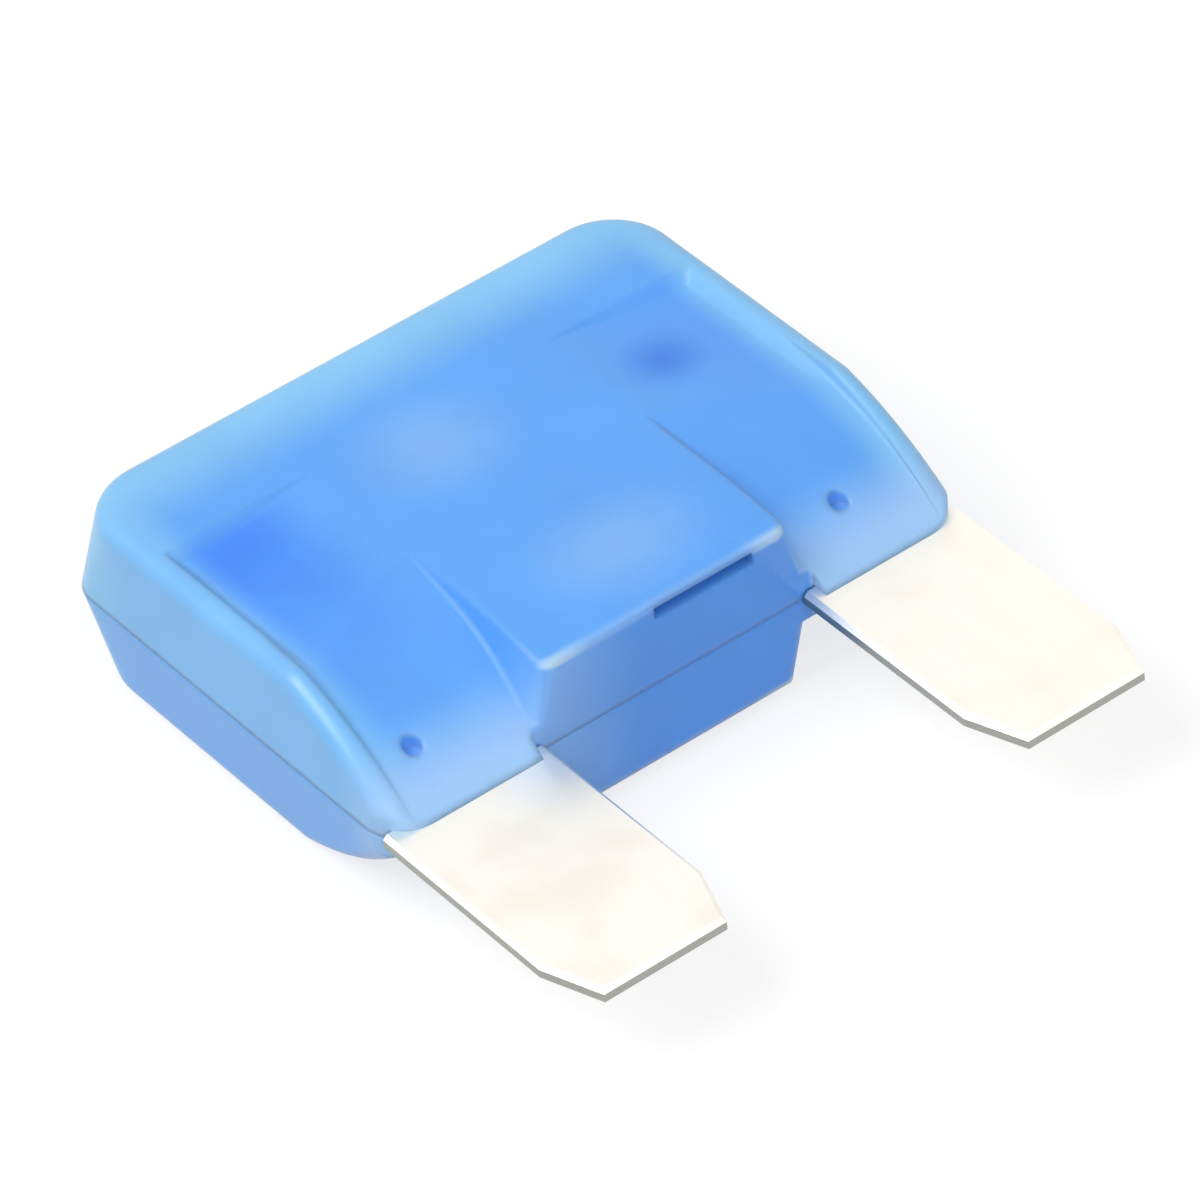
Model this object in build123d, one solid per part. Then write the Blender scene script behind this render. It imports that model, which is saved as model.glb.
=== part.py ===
"""A large automotive blade fuse, lying on one broad face.

Millimetres, +Z up.  X runs across the two blades, +Y points at the head of the housing and the
blades point to -Y.  The origin is the bottom centre of the box round the whole fuse.

The housing is two moulded shells, each drafted away from the plane where they meet.  The front
shell faces up and has a vent slot in its end.  The rear shell is the same moulding without the
slot, turned half a turn about Y.
Between them lies the stamped element: two blades, their shanks and the link that melts.
"""
import os

from build123d import *

# Outer size of the fuse
WIDTH = 29.2
LENGTH = 34.3
THICKNESS = 8.9
HOUSING_LENGTH = 22.3
HALF_WIDTH = WIDTH / 2
HALF_THICKNESS = THICKNESS / 2
HEAD_Y = LENGTH / 2
ROOT_Y = HEAD_Y - HOUSING_LENGTH

# Moulding: draft and corner radii of a shell
DRAFT = 0.3
PARTING_CORNER = 1.6
FACE_CORNER = 3.4
SHOULDER_CORNER = 2.0
EDGE_RADIUS = 0.8
OVERRUN = 6.0

# Blade end of a shell: two ramps down to the blades, and a block between them
BLOCK_END_Y = -4.3
BLOCK_FOOT_HALF = 7.2
BLOCK_TOP_HALF = 6.1
BOW_START_Y = 1.0
BOW_DROP = 0.5
RAIL_TOP_Y = 1.8
RAMP_BULGE = 0.62

# Hollows of a shell
FRONT_WALL = 0.95
SIDE_WALL = 1.6
CHAMBER_HALF = 6.7
CHAMBER_HEAD_Y = 15.3
THROAT_HALF = 5.0
THROAT_END_Y = -2.9
BAY_HEIGHT = 2.15
BAY_HEAD_Y = 13.6
BAY_END_Y = 1.2
HOLLOW_CORNER = 0.6

# Outside recess over each shank, deepest near its outer wall; its walls lean outwards
RECESS_OUTER = 13.4
RECESS_DEPTH = 0.55
RECESS_HEAD_Y = 11.2
RECESS_WALL_RUN = 0.5

# Vent slot in the end of the block, on one side of the middle
VENT_START = -0.7
VENT_WIDTH = 5.0
VENT_HEIGHT = 0.56
VENT_LIP = 0.12

# Element: 0.8 mm strip
STRIP = 0.8
BLADE_WIDTH = 8.0
BLADE_PITCH = 21.2
BLADE_TOP_Y = -4.4
TIP_CHAMFER_X = 1.0
TIP_CHAMFER_Y = 2.8
COINED_EDGE = 0.2
SHANK_WIDTH = 5.25
SHANK_X = 10.32
SHANK_TOP_Y = 10.6
SHANK_CORNER = 0.8
LINK_STRIP = 0.5
LINK_WIDTH = 1.9
LINK_NECK = 0.9
LINK_LEG_X = 4.2
LINK_FOOT_Y = 4.0
LINK_TOP_Y = 12.2
NECK_LENGTH = 1.6
LINK_CORNER = 0.7

# Pegs that pass through the shanks and hold the shells together, and the sink marks beside them
PEG_X = 10.8
PEG_Y = -2.3
PEG_DIAMETER = 1.6
PEG_REACH = 0.8
FIT = 0.05
MARK_SHIFT = 0.84
MARK_DROP = 0.33
MARK_DIAMETER = 0.85
MARK_DEPTH = 0.45

TOLERANCE = 0.01
BLADE_X = BLADE_PITCH / 2
HALF_STRIP = STRIP / 2


def outline(level, inset, corner):
    """Plan of the housing at one level above the parting plane, open-ended towards the blades."""
    depth = HEAD_Y - inset - ROOT_Y + OVERRUN
    plan = Pos(0, HEAD_Y - inset - depth / 2) * Rectangle(WIDTH - 2 * inset, depth)
    plan = fillet(plan.vertices().group_by(Axis.Y)[-1], corner)
    return Pos(0, 0, level) * plan


def shoulder_plan():
    """Plan that trims the blade end: rounded outer corners, and a step back at the block."""
    depth = HEAD_Y - ROOT_Y + OVERRUN
    plan = Pos(0, ROOT_Y + depth / 2) * Rectangle(WIDTH, depth)
    plan = fillet(plan.vertices().group_by(Axis.Y)[0], SHOULDER_CORNER)
    step = Pos(0, BLOCK_END_Y - OVERRUN / 2) * Rectangle(2 * BLOCK_FOOT_HALF, OVERRUN)
    return extrude(plan - step, amount=THICKNESS)


def ramp_level(y, top_z):
    """Height of a ramp at one Y: a straight rise from the blade root to its top, and a bulge."""
    share = (y - ROOT_Y) / (RAIL_TOP_Y - ROOT_Y)
    return HALF_STRIP + (top_z - HALF_STRIP) * share + 4 * RAMP_BULGE * share * (1 - share)


def ramp_cutter(top_z, outer_x):
    """Space above one right-hand ramp, from the sloping side of the block out to outer_x.

    The ramp is an arc in side view, carried on in a straight line above its top.
    """
    low_y = ROOT_Y - OVERRUN
    middle_y = (ROOT_Y + RAIL_TOP_Y) / 2
    arc = ThreePointArc(
        (ROOT_Y, HALF_STRIP), (middle_y, ramp_level(middle_y, top_z)), (RAIL_TOP_Y, top_z)
    )
    heading = arc % 1
    high_y = RAIL_TOP_Y + (THICKNESS - top_z) * heading.X / heading.Y
    rest = Polyline(
        (RAIL_TOP_Y, top_z), (high_y, THICKNESS), (low_y, THICKNESS), (low_y, HALF_STRIP), (ROOT_Y, HALF_STRIP)
    )
    wedge = extrude(Plane.YZ * make_face([arc, rest]), amount=outer_x)
    lean = (BLOCK_FOOT_HALF - BLOCK_TOP_HALF) / (HALF_THICKNESS - HALF_STRIP)
    high_x = BLOCK_FOOT_HALF - lean * (THICKNESS - HALF_STRIP)
    end = make_face(
        Polyline(
            (BLOCK_FOOT_HALF, HALF_STRIP),
            (outer_x, HALF_STRIP),
            (outer_x, THICKNESS),
            (high_x, THICKNESS),
            close=True,
        )
    )
    prism = Pos(0, high_y, 0) * extrude(Plane.XZ * end, amount=high_y - low_y)
    return wedge & prism


def bow_cutter():
    """Space above the block's top, which bows down from the face to the block's end."""
    run = BOW_START_Y - BLOCK_END_Y
    radius = (run**2 + BOW_DROP**2) / (2 * BOW_DROP)
    side = Pos(BOW_START_Y, HALF_THICKNESS - radius) * Circle(radius)
    space = Pos(BOW_START_Y - OVERRUN / 2, HALF_THICKNESS) * Rectangle(OVERRUN, 2 * OVERRUN)
    half_span = BLOCK_FOOT_HALF + OVERRUN
    return Pos(-half_span, 0, 0) * extrude(Plane.YZ * (space - side), amount=2 * half_span)


def sharp_edges(body):
    """Edges to round: the outer rim, down the ramp sides, and the end of the block."""
    chosen = []
    for edge in body.edges():
        box = edge.bounding_box()
        reach_x = max(abs(box.min.X), abs(box.max.X))
        reaches_face = abs(box.max.Z - HALF_THICKNESS) < TOLERANCE
        on_face = reaches_face and box.min.Z > HALF_THICKNESS - TOLERANCE
        at_side = reach_x > HALF_WIDTH - 2 * DRAFT
        on_rim = on_face and (at_side or box.max.Y > HEAD_Y - 2 * DRAFT)
        on_ramp_side = reaches_face and at_side and box.max.Y < RAIL_TOP_Y + TOLERANCE
        on_block_end = reaches_face and abs(box.max.Y - BLOCK_END_Y) < TOLERANCE
        if on_rim or on_ramp_side or on_block_end:
            chosen.append(edge)
    return chosen


def outer_form():
    """Solid outer shape of one shell: its edges are rounded before the block's top is bowed."""
    body = loft([outline(0, 0, PARTING_CORNER), outline(HALF_THICKNESS, DRAFT, FACE_CORNER)])
    body = body & shoulder_plan()
    ramp = ramp_cutter(HALF_THICKNESS, WIDTH) + shank_recess()
    body = body - ramp - mirror(ramp, about=Plane.YZ)
    return fillet(sharp_edges(body), EDGE_RADIUS) - bow_cutter()


def room(x, y_low, y_high, width, height, corner):
    """Block of space above the parting plane, its upright corners rounded."""
    plan = Pos(x, (y_low + y_high) / 2) * Rectangle(width, y_high - y_low)
    return extrude(fillet(plan.vertices(), corner), amount=height)


def chamber():
    """Hollow of one shell: a high middle, its throat in the block, and a low bay over each shank."""
    height = HALF_THICKNESS - FRONT_WALL
    middle = room(0, BAY_END_Y, CHAMBER_HEAD_Y, 2 * CHAMBER_HALF, height, HOLLOW_CORNER)
    throat = room(0, THROAT_END_Y, BAY_HEAD_Y, 2 * THROAT_HALF, height, HOLLOW_CORNER)
    bays = room(0, BAY_END_Y, BAY_HEAD_Y, WIDTH - 2 * SIDE_WALL, BAY_HEIGHT, HOLLOW_CORNER)
    return middle + throat + bays


def shank_recess():
    """Outside recess over the right-hand shank: its floor rises towards the middle of the face.

    It runs on down the ramp, ever shallower, and ends at the blade root.
    """
    floor_z = HALF_THICKNESS - RECESS_DEPTH
    rise = THICKNESS - floor_z
    lean = rise * RECESS_WALL_RUN / RECESS_DEPTH
    deep_x = RECESS_OUTER - RECESS_WALL_RUN
    section = make_face(
        Polyline(
            (BLOCK_TOP_HALF, HALF_THICKNESS),
            (deep_x, floor_z),
            (deep_x + lean, THICKNESS),
            (BLOCK_TOP_HALF, THICKNESS),
            close=True,
        )
    )
    head_y = RECESS_HEAD_Y - RECESS_WALL_RUN
    side = make_face(
        Polyline(
            (BLADE_TOP_Y, floor_z),
            (head_y, floor_z),
            (head_y + lean, THICKNESS),
            (BLADE_TOP_Y, THICKNESS),
            close=True,
        )
    )
    bar = Pos(0, HEAD_Y, 0) * extrude(Plane.XZ * section, amount=LENGTH)
    bar = bar & extrude(Plane.YZ * side, amount=WIDTH)
    return bar + ramp_cutter(floor_z, RECESS_OUTER)


def vent():
    """Slot under the front wall that opens the block's end into the chamber."""
    depth = THROAT_END_Y - BLOCK_END_Y + 2 * HOLLOW_CORNER
    middle_x = VENT_START + VENT_WIDTH / 2
    middle_y = (THROAT_END_Y + BLOCK_END_Y) / 2
    middle_z = HALF_THICKNESS - BOW_DROP - VENT_LIP - VENT_HEIGHT / 2
    return Pos(middle_x, middle_y, middle_z) * Box(VENT_WIDTH, depth, VENT_HEIGHT)


def peg(x, diameter, low_z, high_z):
    """Round peg, or the hole for one, between two levels."""
    middle = (low_z + high_z) / 2
    return Pos(x, PEG_Y, middle) * Cylinder(diameter / 2, high_z - low_z)


def seats():
    """Half of the strip's thickness, cut under the blades and the lower ends of the shanks."""
    space = Part()
    for side in (-1, 1):
        shank = room(
            side * SHANK_X, ROOT_Y - OVERRUN, SHANK_TOP_Y, SHANK_WIDTH + 2 * FIT, HALF_STRIP, HOLLOW_CORNER
        )
        blade = Pos(side * BLADE_X, BLADE_TOP_Y + FIT - OVERRUN / 2, HALF_STRIP / 2)
        blade = blade * Box(BLADE_WIDTH + 2 * FIT, OVERRUN, HALF_STRIP)
        space = space + shank + blade
    return space


def mark(x):
    """Small round sink in the ramp, beside a peg."""
    surface_z = ramp_level(PEG_Y - MARK_DROP, HALF_THICKNESS - RECESS_DEPTH)
    sink = peg(x, MARK_DIAMETER, surface_z - MARK_DEPTH, surface_z + MARK_DIAMETER)
    return Pos(0, -MARK_DROP, 0) * sink


def shell(vented):
    """One housing shell, outer face up and parting plane at zero, with or without the slot."""
    body = outer_form() - chamber() - seats()
    if vented:
        body = body - vent()
    body = body + peg(-PEG_X, PEG_DIAMETER, -HALF_STRIP - PEG_REACH, HALF_STRIP)
    body = body - peg(PEG_X, PEG_DIAMETER + 2 * FIT, 0, HALF_STRIP + PEG_REACH + FIT)
    for side in (-1, 1):
        body = body - mark(side * PEG_X - MARK_SHIFT)
    return body


def blade(side):
    """One blade and its shank, flat, the blade's tip and edges bevelled."""
    tip_y = -HEAD_Y
    plan = Pos(side * BLADE_X, (tip_y + BLADE_TOP_Y) / 2) * Rectangle(BLADE_WIDTH, BLADE_TOP_Y - tip_y)
    strip = extrude(plan, amount=HALF_STRIP, both=True)
    tip = strip.edges().filter_by(Axis.Z).group_by(Axis.Y)[0]
    face = strip.faces().sort_by(Axis.Y)[0]
    strip = chamfer(tip, length=TIP_CHAMFER_X, length2=TIP_CHAMFER_Y, reference=face)
    rims = []
    for edge in strip.edges():
        box = edge.bounding_box()
        flat = box.max.Z - box.min.Z < TOLERANCE
        if flat and box.min.Y < BLADE_TOP_Y - TOLERANCE:
            rims.append(edge)
    strip = chamfer(rims, COINED_EDGE)
    length = SHANK_TOP_Y - BLADE_TOP_Y
    shank = Pos(side * SHANK_X, BLADE_TOP_Y + length / 2) * Rectangle(SHANK_WIDTH, length)
    shank = fillet(shank.vertices().group_by(Axis.Y)[-1], SHANK_CORNER)
    return strip + extrude(shank, amount=HALF_STRIP, both=True)


def link():
    """Thin arched strip from shank to shank, narrowed to a neck at the middle of its top."""
    half_width = LINK_WIDTH / 2
    low_y = LINK_FOOT_Y - half_width
    height = LINK_TOP_Y + half_width - low_y
    around = Pos(0, low_y + height / 2) * Rectangle(2 * LINK_LEG_X + LINK_WIDTH, height)
    around = fillet(around.vertices().group_by(Axis.Y)[-1], LINK_CORNER + half_width)
    hole_height = height - LINK_WIDTH
    hole = Pos(0, low_y + hole_height / 2) * Rectangle(2 * LINK_LEG_X - LINK_WIDTH, hole_height)
    hole = fillet(hole.vertices().group_by(Axis.Y)[-1], LINK_CORNER)
    arch = around - hole
    shank_edge = SHANK_X - SHANK_WIDTH / 2
    for side in (-1, 1):
        foot_length = shank_edge - LINK_LEG_X + HALF_STRIP
        arch = arch + Pos(side * (LINK_LEG_X + foot_length / 2), LINK_FOOT_Y) * Rectangle(
            foot_length, LINK_WIDTH
        )
        bite = Pos(0, LINK_TOP_Y + side * (LINK_NECK + NECK_LENGTH) / 2) * Circle(NECK_LENGTH / 2)
        arch = arch - bite
    return extrude(arch, amount=LINK_STRIP / 2, both=True)


def fuse_element():
    """The whole stamping: two blades with their shanks, the link, and the peg holes."""
    body = blade(-1) + blade(1) + link()
    for side in (-1, 1):
        body = body - peg(side * PEG_X, PEG_DIAMETER + 2 * FIT, -STRIP, STRIP)
    return body


def write_parts():
    """Place the pieces at their real height and write one file for each."""
    middle = Pos(0, 0, HALF_THICKNESS)
    pieces = {
        "front_shell": middle * shell(vented=True),
        "rear_shell": middle * Rot(0, 180, 0) * shell(vented=False),
        "fuse_element": middle * fuse_element(),
    }
    os.makedirs("parts", exist_ok=True)
    for name, piece in pieces.items():
        piece.label = name
        export_step(piece, f"parts/{name}.step")


if __name__ == "__main__":
    write_parts()
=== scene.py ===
"""Looks for a large automotive blade fuse, built round its packed construction.

The fuse lies on its rear face: +X runs across the two blades, +Y points at the head of the
housing and +Z points up.  Sizes are in millimetres and MM turns them to Blender's metres.
"""
import logging
import math
from dataclasses import dataclass, field
from enum import Enum

import bpy
import numpy as np
from mathutils import Matrix, Vector

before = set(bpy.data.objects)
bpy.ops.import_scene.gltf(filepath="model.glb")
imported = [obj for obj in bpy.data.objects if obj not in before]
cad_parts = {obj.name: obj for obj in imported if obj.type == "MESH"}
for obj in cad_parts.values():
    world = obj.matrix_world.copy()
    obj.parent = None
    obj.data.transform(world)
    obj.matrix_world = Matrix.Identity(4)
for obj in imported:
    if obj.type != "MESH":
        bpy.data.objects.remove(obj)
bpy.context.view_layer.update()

MM = 0.001
PARTING_Z = 4.45
WHITE = (1.0, 1.0, 1.0, 1.0)

Colour = tuple[float, float, float, float]
Span = tuple[float, float]
Socket = bpy.types.NodeSocket
log = logging.getLogger("blade_fuse")


class Node(Enum):
    """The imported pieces, by name."""

    FRONT = "front_shell"
    REAR = "rear_shell"
    ELEMENT = "fuse_element"


def linear(hex_colour: str) -> Colour:
    """Turn an sRGB hex colour to linear light.

    Args:
        hex_colour: Six hex digits after a hash.

    Returns:
        Red, green, blue and alpha, each from 0 to 1.
    """
    channels = np.array([int(hex_colour[i : i + 2], 16) for i in (1, 3, 5)]) / 255
    dark = channels / 12.92
    light = ((channels + 0.055) / 1.055) ** 2.4
    red, green, blue = np.where(channels <= 0.04045, dark, light)
    return float(red), float(green), float(blue), 1.0


def add(
    tree: bpy.types.NodeTree,
    kind: str,
    settings: dict[str, object] | None = None,
    **values: object,
) -> bpy.types.Node:
    """Add one shader node, set it up and link it.

    Args:
        tree: Node tree that takes the node.
        kind: Blender's class name for the node, without its leading ShaderNode.
        settings: Attributes of the node itself.
        **values: Inputs by name, spaces as underscores, or by number as in0, in1 and so on.
            A socket is linked and anything else is set as the input's value.

    Returns:
        The new node.
    """
    node = tree.nodes.new("ShaderNode" + kind)
    for name, value in (settings or {}).items():
        setattr(node, name, value)
    for name, value in values.items():
        numbered = name.startswith("in") and name[2:].isdigit()
        socket = node.inputs[int(name[2:])] if numbered else node.inputs[name.replace("_", " ")]
        if isinstance(value, Socket):
            tree.links.new(value, socket)
        else:
            socket.default_value = value
    return node


def new_material(name: str) -> tuple[bpy.types.Material, bpy.types.NodeTree]:
    """Make an empty node material.

    Args:
        name: The real material's name.

    Returns:
        The material and its node tree.
    """
    material = bpy.data.materials.new(name)
    material.use_nodes = True
    material.node_tree.nodes.clear()
    return material, material.node_tree


def dress(node: Node, material: bpy.types.Material) -> None:
    """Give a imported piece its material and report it.

    Args:
        node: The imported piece.
        material: The finish for all of its slots.
    """
    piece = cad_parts[node.value]
    for slot in piece.material_slots:
        slot.material = material
    log.info("%s: %d faces in %s", node.value, len(piece.data.polygons), material.name)


@dataclass(frozen=True)
class Patch:
    """A soft oval of colour, by its centre and radii across and along the fuse."""

    centre: Span
    radii: Span
    strength: float


class Layers:
    """Colours laid over each other on a piece, placed by its own coordinates in millimetres."""

    def __init__(self, tree: bpy.types.NodeTree, base: str) -> None:
        """Start with one colour all over.

        Args:
            tree: Node tree of the material.
            base: The lowest colour, as sRGB hex.
        """
        self.tree = tree
        self.colour: Colour | Socket = linear(base)
        self.own = add(tree, "TexCoord")
        scale = (1 / MM, 1 / MM, 1 / MM)
        self.place = add(tree, "Mapping", Vector=self.own.outputs["Object"], Scale=scale).outputs[0]
        self.x, self.y, self.z = add(tree, "SeparateXYZ", Vector=self.place).outputs
        self.from_middle = add(tree, "Math", {"operation": "ABSOLUTE"}, in0=self.x).outputs[0]

    def ramp(self, value: Socket, span: Span, top: float = 1.0, low: float = 0.0) -> Socket:
        """Rise smoothly from low to top over a span.

        Args:
            value: The place or other value that drives it.
            span: The value at low and the value at top, in either order.
            top: Highest factor.
            low: Lowest factor.

        Returns:
            The factor.
        """
        settings = {"interpolation_type": "SMOOTHSTEP"}
        sizes = {"From_Min": span[0], "From_Max": span[1], "To_Min": low, "To_Max": top}
        return add(self.tree, "MapRange", settings, Value=value, **sizes).outputs[0]

    def both(self, *factors: Socket) -> Socket:
        """Multiply factors together.

        Args:
            *factors: One factor or more.

        Returns:
            Their product.
        """
        product = factors[0]
        for factor in factors[1:]:
            step = add(self.tree, "Math", {"operation": "MULTIPLY"}, in0=product, in1=factor)
            product = step.outputs[0]
        return product

    def cover(self, factor: Socket, tone: str) -> None:
        """Lay a colour over the ones so far, where the factor says."""
        above = linear(tone)
        mix = add(self.tree, "Mix", {"data_type": "RGBA"}, in0=factor, in6=self.colour, in7=above)
        self.colour = mix.outputs[2]

    def dab(self, patch: Patch, tone: str) -> None:
        """Lay a soft oval of colour, strongest at its centre and gone at its edge.

        The distance from the centre is divided by the radii, and its length runs from 0 to 1.

        Args:
            patch: Where the oval lies and how strong it is.
            tone: Its colour, as sRGB hex.
        """
        (across, along), (wide, long) = patch.centre, patch.radii
        scale = (1 / wide, 1 / long, 0.0)
        shift = (-across / wide, -along / long, 0.0)
        local = add(self.tree, "Mapping", Vector=self.place, Scale=scale, Location=shift)
        length = add(self.tree, "VectorMath", {"operation": "LENGTH"}, in0=local.outputs[0])
        self.cover(self.ramp(length.outputs["Value"], (1.0, 0.0), patch.strength), tone)


@dataclass(frozen=True)
class MilkyPolycarbonate:
    """Injection-moulded polycarbonate, milky light blue, with a satin mould finish.

    Light gets a millimetre or two into it.  The colour carries painted light on top of that: a
    painted highlight on the thick rims, painted shade where thin walls lie over the dark hollows
    inside, and painted light and shade at the blade end.  Spans are millimetres from the middle,
    along the fuse or off the weld, from where a tone begins to where it is full.
    """

    name: str = "moulded polycarbonate, milky blue"
    panel: str = "#5AAAFE"
    # pale patches, the lower one a painted highlight
    pale: str = "#80B8FE"
    # painted shade in a strip over each hollow
    strip_shade: str = "#3690FE"
    # painted shade in the dark dots over the bays
    shade_spot: str = "#1B80F0"
    # painted highlight on the thick rims
    rim_light: str = "#88CCFC"
    # painted light at the roots of the ramps
    root: str = "#A2CDFC"
    # painted shade on the block's end
    end: str = "#4699FE"
    # painted light towards the left of the block's end
    left_light: str = "#8AC0FE"
    glint: str = "#C4E4FE"
    weld: str = "#4C8AE4"

    # Pale patches in the middle of the face, the lower one a painted highlight on the face's slope
    # down to the block; dark dots of painted shade over the two bays
    pale_patches: tuple[Patch, ...] = (
        Patch((-1.4, 9.2), (4.6, 4.2), 0.9),
        Patch((0.3, -0.8), (5.4, 3.8), 0.95),
    )
    # Dark dots of painted shade over the two bays
    shade_spots: tuple[Patch, ...] = (
        Patch((-11.1, 9.3), (2.6, 2.4), 0.3),
        Patch((9.0, 7.3), (2.4, 2.2), 0.85),
    )

    # Painted shade in a strip over each shank, inside its recess, where the thin wall lies over the
    # dark hollow; the right one is fainter
    strip_inner: Span = (6.6, 10.0)
    strip_outer: Span = (13.0, 12.4)
    strip_foot: Span = (-3.0, 10.0)
    strip_head: Span = (11.2, 10.4)
    strip_sides: Span = (2.0, -2.0)
    strip_right: float = 0.2

    # Painted highlight on the thick rims, stronger above the weld and on the right
    rim_side: Span = (11.7, 13.5)
    rim_head: Span = (12.0, 16.2)
    rim_sides: Span = (-2.0, 2.0)
    rim_rise: Span = (PARTING_Z - 0.3, PARTING_Z + 0.3)
    rim_strength: float = 0.9
    rim_left: float = 0.7
    rim_below: float = 0.3

    # Painted light at the roots of the ramps, painted shade on the block's end with painted light
    # towards its left, and the glint on its lip, a painted highlight
    root_along: Span = (-1.2, -4.6)
    root_across: Span = (5.6, 7.4)
    root_strength: float = 0.9
    end_along: Span = (-4.1, -4.25)
    end_across: Span = (7.2, 6.9)
    end_strength: float = 0.85
    left_light_across: Span = (-1.0, -6.5)
    left_light_strength: float = 0.8
    lip_along: Span = (-3.7, -4.15)
    lip_height: Span = (3.6, 3.85)
    lip_corner: Span = (3.5, 5.8)
    lip_strength: float = 0.8
    lip_middle: float = 0.3

    # Weld line, a tenth of a millimetre either side of the parting plane
    weld_height: Span = (0.11, 0.03)
    weld_strength: float = 0.3

    # Light inside the plastic: how far it gets in all, and the share of that for each colour
    ior: float = 1.585
    scatter_mm: float = 1.3
    scatter_reach: tuple[float, float, float] = (0.45, 0.75, 1.0)
    scatter_share: float = 0.35
    clear_share: float = 0.1

    # Surface: rounded edges, and the mould's satin grain.  Such a grain is usually well under
    # 0.1 mm, too fine to show, and is drawn as coarse as it needs.
    edge_mm: float = 0.5
    grain_mm: float = 0.22
    grain_height_mm: float = 0.05
    grain_strength: float = 0.12

    # Slow flow marks from the mould's filling, in the colour and in the roughness
    flow_mm: float = 5.0
    flow_middle: Span = (0.3, 0.7)
    wash: Span = (0.95, 1.05)
    roughness: Span = (0.24, 0.38)

    def lay_bays(self, tone: Layers) -> None:
        """Lay the pale patches in the middle, the lower one a painted highlight, and the painted
        shade strip and dots over each bay.

        Args:
            tone: The colours so far.
        """
        for patch in self.pale_patches:
            tone.dab(patch, self.pale)
        # Painted shade in a strip over each shank, inside its recess
        strip = tone.both(
            tone.ramp(tone.from_middle, self.strip_inner),
            tone.ramp(tone.from_middle, self.strip_outer),
            tone.ramp(tone.y, self.strip_foot),
            tone.ramp(tone.y, self.strip_head),
            tone.ramp(tone.x, self.strip_sides, low=self.strip_right),
        )
        tone.cover(strip, self.strip_shade)
        # Dark dots of painted shade over the two bays
        for patch in self.shade_spots:
            tone.dab(patch, self.shade_spot)

    def lay_rim_light(self, tone: Layers) -> None:
        """Lay the painted highlight on the rims at the sides and the head.

        Args:
            tone: The colours so far.
        """
        # The painted highlight is weaker below the weld, where less light falls
        upper = tone.ramp(tone.z, self.rim_rise, low=self.rim_below)
        side = tone.both(
            tone.ramp(tone.from_middle, self.rim_side, self.rim_strength),
            tone.ramp(tone.x, self.rim_sides, low=self.rim_left),
            upper,
        )
        tone.cover(side, self.rim_light)
        tone.cover(tone.both(tone.ramp(tone.y, self.rim_head), upper), self.rim_light)

    def lay_blade_end(self, tone: Layers) -> None:
        """Lay the painted light at the roots of the ramps, the painted shade on the block's end
        with painted light towards its left, the weld and the painted glint on the lip.

        Args:
            tone: The colours so far.
        """
        height = add(tone.tree, "Math", {"operation": "SUBTRACT"}, in0=tone.z, in1=PARTING_Z)
        size = add(tone.tree, "Math", {"operation": "ABSOLUTE"}, in0=height.outputs[0])
        off_weld = size.outputs[0]
        # Painted light at the roots of the ramps, thrown back from the blades
        foot = tone.ramp(tone.y, self.root_along, self.root_strength)
        tone.cover(tone.both(foot, tone.ramp(tone.from_middle, self.root_across)), self.root)
        on_block = tone.ramp(tone.from_middle, self.end_across)
        # Painted shade on the block's end face
        end = tone.both(tone.ramp(tone.y, self.end_along, self.end_strength), on_block)
        tone.cover(end, self.end)
        # Painted light towards the left of the block's end
        left_light = tone.ramp(tone.x, self.left_light_across, self.left_light_strength)
        tone.cover(tone.both(end, left_light), self.left_light)
        tone.cover(tone.ramp(off_weld, self.weld_height, self.weld_strength), self.weld)
        lip = tone.both(
            tone.ramp(tone.y, self.lip_along, self.lip_strength),
            tone.ramp(off_weld, self.lip_height),
            tone.ramp(tone.from_middle, self.lip_corner, low=self.lip_middle),
            on_block,
        )
        tone.cover(lip, self.glint)

    def build(self) -> bpy.types.Material:
        """Make the finish: colour toned with painted light and shade, light scattered inside, and
        softened edges.

        Returns:
            The finished material.
        """
        material, tree = new_material(self.name)
        tone = Layers(tree, self.panel)
        self.lay_bays(tone)
        self.lay_rim_light(tone)
        self.lay_blade_end(tone)
        flow = add(tree, "TexNoise", Vector=tone.place, Scale=1 / self.flow_mm, Detail=2.0)
        wash = add(
            tree,
            "MapRange",
            Value=flow.outputs[0],
            From_Min=self.flow_middle[0],
            From_Max=self.flow_middle[1],
            To_Min=self.wash[0],
            To_Max=self.wash[1],
        )
        settings = {"operation": "SCALE"}
        colour = add(tree, "VectorMath", settings, in0=tone.colour, Scale=wash.outputs[0])
        smooth, rough = self.roughness
        roughness = add(tree, "MapRange", Value=flow.outputs[0], To_Min=smooth, To_Max=rough)
        grain = add(tree, "TexNoise", Vector=tone.place, Scale=1 / self.grain_mm, Detail=3.0)
        soft = add(tree, "Bevel", {"samples": 6}, Radius=self.edge_mm * MM)
        relief = add(
            tree,
            "Bump",
            Height=grain.outputs[0],
            Strength=self.grain_strength,
            Distance=self.grain_height_mm * MM,
            Normal=soft.outputs[0],
        )
        depth = self.scatter_mm * MM
        shader = add(
            tree,
            "BsdfPrincipled",
            Base_Color=colour.outputs[0],
            Roughness=roughness.outputs[0],
            IOR=self.ior,
            Subsurface_Weight=self.scatter_share,
            Subsurface_Radius=tuple(part * depth for part in self.scatter_reach),
            Transmission_Weight=self.clear_share,
            Normal=relief.outputs[0],
        )
        add(tree, "OutputMaterial", Surface=shader.outputs["BSDF"])
        return material


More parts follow.
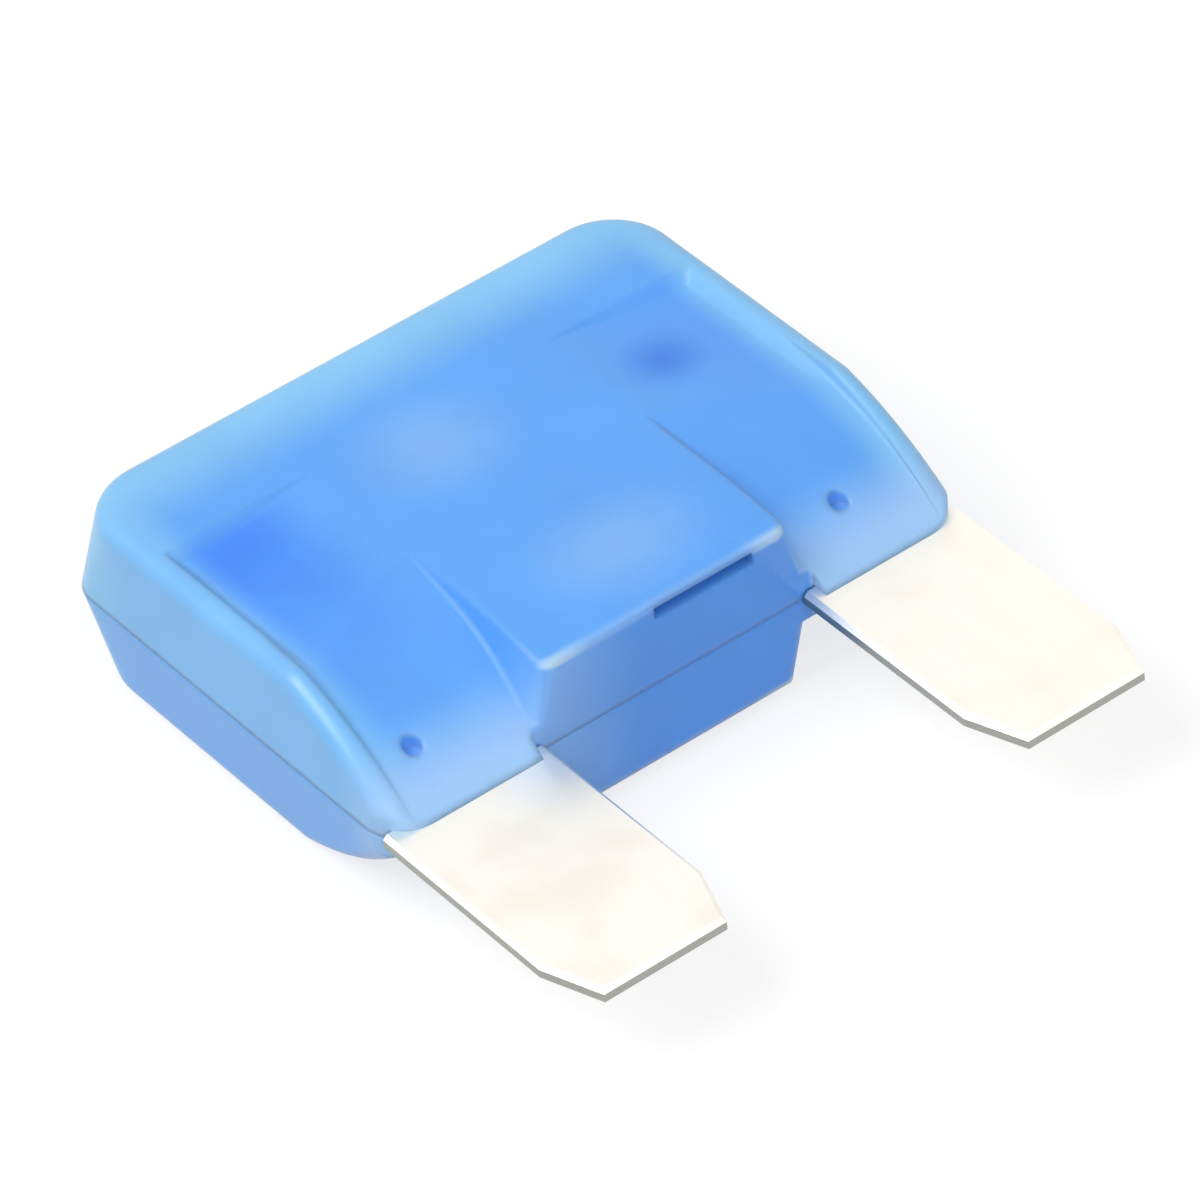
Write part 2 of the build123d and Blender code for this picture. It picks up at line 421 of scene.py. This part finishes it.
@dataclass(frozen=True)
class TinPlatedZinc:
    """Rolled zinc strip, tin plated and then stamped.

    The plate is bright and a little warm, with faint rolling lines along the blades.  The cut
    edges show greyer bare zinc, drawn darker than bare zinc as painted shade on the upright faces.
    """

    name: str = "tin-plated zinc strip"
    plate: str = "#FDF9EF"
    worn: str = "#F7F0E3"
    # bare zinc on the cut edges, drawn darker as painted shade
    cut: str = "#A6A8A2"
    patch_mm: float = 3.5
    patch_span: Span = (0.45, 0.75)
    patch_strength: float = 0.8
    cut_span: Span = (0.55, 0.2)

    # Rolling lines.  They usually lie a few hundredths of a millimetre apart, too fine to show,
    # and are drawn as coarse as they need.
    line_mm: float = 0.12
    line_length_mm: float = 4.0
    line_height_mm: float = 0.02
    line_strength: float = 0.15
    roughness: Span = (0.3, 0.5)

    def build(self) -> bpy.types.Material:
        """Make the finish: patchy plating, grey cut edges that are partly painted shade, and
        rolling lines.

        Returns:
            The finished material.
        """
        material, tree = new_material(self.name)
        tone = Layers(tree, self.plate)
        patches = add(tree, "TexNoise", Vector=tone.place, Scale=1 / self.patch_mm, Detail=2.0)
        tone.cover(tone.ramp(patches.outputs[0], self.patch_span, self.patch_strength), self.worn)
        facing = add(tree, "SeparateXYZ", Vector=tone.own.outputs["Normal"])
        upright = add(tree, "Math", {"operation": "ABSOLUTE"}, in0=facing.outputs[2])
        # Upright faces: bare zinc, darkened further as painted shade
        tone.cover(tone.ramp(upright.outputs[0], self.cut_span), self.cut)
        stretch = (1 / self.line_mm, 1 / self.line_length_mm, 1 / self.line_mm)
        along = add(tree, "Mapping", Vector=tone.place, Scale=stretch)
        lines = add(tree, "TexNoise", Vector=along.outputs[0], Scale=1.0, Detail=3.0)
        smooth, rough = self.roughness
        roughness = add(tree, "MapRange", Value=lines.outputs[0], To_Min=smooth, To_Max=rough)
        relief = add(
            tree,
            "Bump",
            Height=lines.outputs[0],
            Strength=self.line_strength,
            Distance=self.line_height_mm * MM,
        )
        shader = add(
            tree,
            "BsdfPrincipled",
            Base_Color=tone.colour,
            Metallic=1.0,
            Roughness=roughness.outputs[0],
            Normal=relief.outputs[0],
        )
        add(tree, "OutputMaterial", Surface=shader.outputs["BSDF"])
        return material


@dataclass
class Housing:
    """The two welded shells, each as packed, in one moulded finish."""

    finish: MilkyPolycarbonate = field(default_factory=MilkyPolycarbonate)

    def dress(self) -> None:
        """Give both shells the same plastic."""
        plastic = self.finish.build()
        for node in (Node.FRONT, Node.REAR):
            dress(node, plastic)


@dataclass
class Element:
    """The stamped strip: two blades, their shanks and the link between them."""

    finish: TinPlatedZinc = field(default_factory=TinPlatedZinc)

    def dress(self) -> None:
        """Give the strip its plating."""
        dress(Node.ELEMENT, self.finish.build())


@dataclass(frozen=True)
class Lamp:
    """A square soft lamp that faces the fuse."""

    name: str
    place_mm: tuple[float, float, float]
    side_mm: float
    level: float

    def build(self) -> None:
        """Add the lamp; its level is the light on a surface square to it, where 1 renders white.

        A lamp of P watts at distance d gives P / (pi^2 d^2) of that.
        """
        place = Vector(self.place_mm) * MM
        data = bpy.data.lights.new(self.name, "AREA")
        data.size = self.side_mm * MM
        data.energy = self.level * math.pi**2 * place.length_squared
        lamp = bpy.data.objects.new(self.name, data)
        lamp.location = place
        lamp.rotation_mode = "QUATERNION"
        lamp.rotation_quaternion = (-place).to_track_quat("-Z", "Y")
        bpy.context.scene.collection.objects.link(lamp)


@dataclass
class Studio:
    """White surroundings, a white floor that keeps the shadow, soft lamps and the camera."""

    azimuth: float = -34.44
    elevation: float = 41.46
    roll: float = -5.62
    distance_mm: float = 338.45
    aim_right_mm: float = -0.64
    aim_up_mm: float = 4.23
    lens_mm: float = 250.9
    floor_mm: float = 900.0
    floor_gap_mm: float = 0.02
    floor_fade_mm: Span = (45.0, 110.0)
    floor_bounce: float = 0.5
    floor_shade: float = 0.30
    floor_lit: float = 0.9
    ambient: float = 0.48
    lamps: tuple[Lamp, ...] = (
        Lamp("key", (-230.0, 70.0, 330.0), 260.0, 0.60),
        Lamp("front", (-60.0, -330.0, 210.0), 280.0, 0.32),
    )

    def camera(self) -> None:
        """Place the camera by its direction, distance and roll, aimed a little off the origin."""
        angles = (self.azimuth, self.elevation, self.roll)
        turn, rise, roll = (math.radians(angle) for angle in angles)
        flat = math.cos(rise)
        back = Vector((math.sin(turn) * flat, -math.cos(turn) * flat, math.sin(rise)))
        level = Vector((math.cos(turn), math.sin(turn), 0.0))
        upright = back.cross(level)
        right = level * math.cos(roll) + upright * math.sin(roll)
        up = upright * math.cos(roll) - level * math.sin(roll)
        place = back * self.distance_mm
        away = (place - right * self.aim_right_mm - up * self.aim_up_mm).normalized()
        right = up.cross(away).normalized()
        axes = Matrix((right, away.cross(right), away)).transposed().to_4x4()
        data = bpy.data.cameras.new("camera")
        data.lens = self.lens_mm
        camera = bpy.data.objects.new("camera", data)
        camera.matrix_world = Matrix.Translation(place * MM) @ axes
        bpy.context.scene.collection.objects.link(camera)
        bpy.context.scene.camera = camera

    def is_seen(self, tree: bpy.types.NodeTree) -> Socket:
        """Find the rays that look at the surroundings, be it in a mirror or through glass.

        Args:
            tree: Node tree of the floor or the world.

        Returns:
            1 for such a ray and 0 for the rest.
        """
        path = add(tree, "LightPath").outputs
        seen = path["Is Camera Ray"]
        for other in (path["Is Glossy Ray"], path["Is Transmission Ray"]):
            seen = add(tree, "Math", {"operation": "MAXIMUM"}, in0=seen, in1=other).outputs[0]
        return seen

    def surroundings(self) -> None:
        """White to look at, and a plain soft light to everything else."""
        world = bpy.data.worlds.new("studio")
        world.use_nodes = True
        tree = world.node_tree
        tree.nodes.clear()
        light = add(tree, "Background", Color=WHITE, Strength=self.ambient)
        white = add(tree, "Background", Color=WHITE, Strength=1.0)
        seen = self.is_seen(tree)
        mix = add(tree, "MixShader", in0=seen, in1=light.outputs[0], in2=white.outputs[0])
        add(tree, "OutputWorld", Surface=mix.outputs[0])
        bpy.context.scene.world = world

    def paper(self) -> bpy.types.Material:
        """Make the floor's paper: mostly glow to the eye, with enough paper to keep a shadow.

        The glow makes up what the thin paper lacks to white when it gets the light floor_lit,
        which is less than it gets in the open, so that only the shadow shows.  Away from the
        fuse the paper fades out, so that the floor has no visible end.

        Returns:
            The finished material.
        """
        material, tree = new_material("white paper")
        bounce, shade = self.floor_bounce, self.floor_shade
        paper = add(tree, "BsdfDiffuse", Color=(bounce, bounce, bounce, 1.0))
        thin = add(tree, "BsdfDiffuse", Color=(shade, shade, shade, 1.0))
        glow = add(tree, "Emission", Color=WHITE, Strength=1.0 - self.floor_lit * shade)
        near = add(tree, "AddShader", in0=thin.outputs[0], in1=glow.outputs[0])
        white = add(tree, "Emission", Color=WHITE, Strength=1.0)
        own = add(tree, "TexCoord")
        reach = add(tree, "VectorMath", {"operation": "LENGTH"}, in0=own.outputs["Object"])
        start, end = self.floor_fade_mm
        fade = add(
            tree,
            "MapRange",
            {"interpolation_type": "SMOOTHSTEP"},
            Value=reach.outputs["Value"],
            From_Min=start * MM,
            From_Max=end * MM,
        ).outputs[0]
        shown = add(tree, "MixShader", in0=fade, in1=near.outputs[0], in2=white.outputs[0])
        seen = self.is_seen(tree)
        mix = add(tree, "MixShader", in0=seen, in1=paper.outputs[0], in2=shown.outputs[0])
        add(tree, "OutputMaterial", Surface=mix.outputs[0])
        return material

    def floor(self) -> None:
        """Lay a flat square of paper just under the fuse."""
        half = self.floor_mm * MM / 2
        low = -self.floor_gap_mm * MM
        corners = [(-half, -half, low), (half, -half, low), (half, half, low), (-half, half, low)]
        mesh = bpy.data.meshes.new("floor")
        mesh.from_pydata(corners, [], [(0, 1, 2, 3)])
        mesh.materials.append(self.paper())
        floor = bpy.data.objects.new("floor", mesh)
        bpy.context.scene.collection.objects.link(floor)

    def build(self) -> None:
        """Set up the whole studio."""
        bpy.context.scene.view_settings.view_transform = "Standard"
        self.camera()
        self.surroundings()
        self.floor()
        for lamp in self.lamps:
            lamp.build()
        log.info("studio: %d lamps", len(self.lamps))


def main() -> None:
    """Dress the fuse piece by piece and light it."""
    logging.basicConfig(level=logging.INFO, format="%(name)s: %(message)s")
    Housing().dress()
    Element().dress()
    Studio().build()


if __name__ == "__main__":
    main()
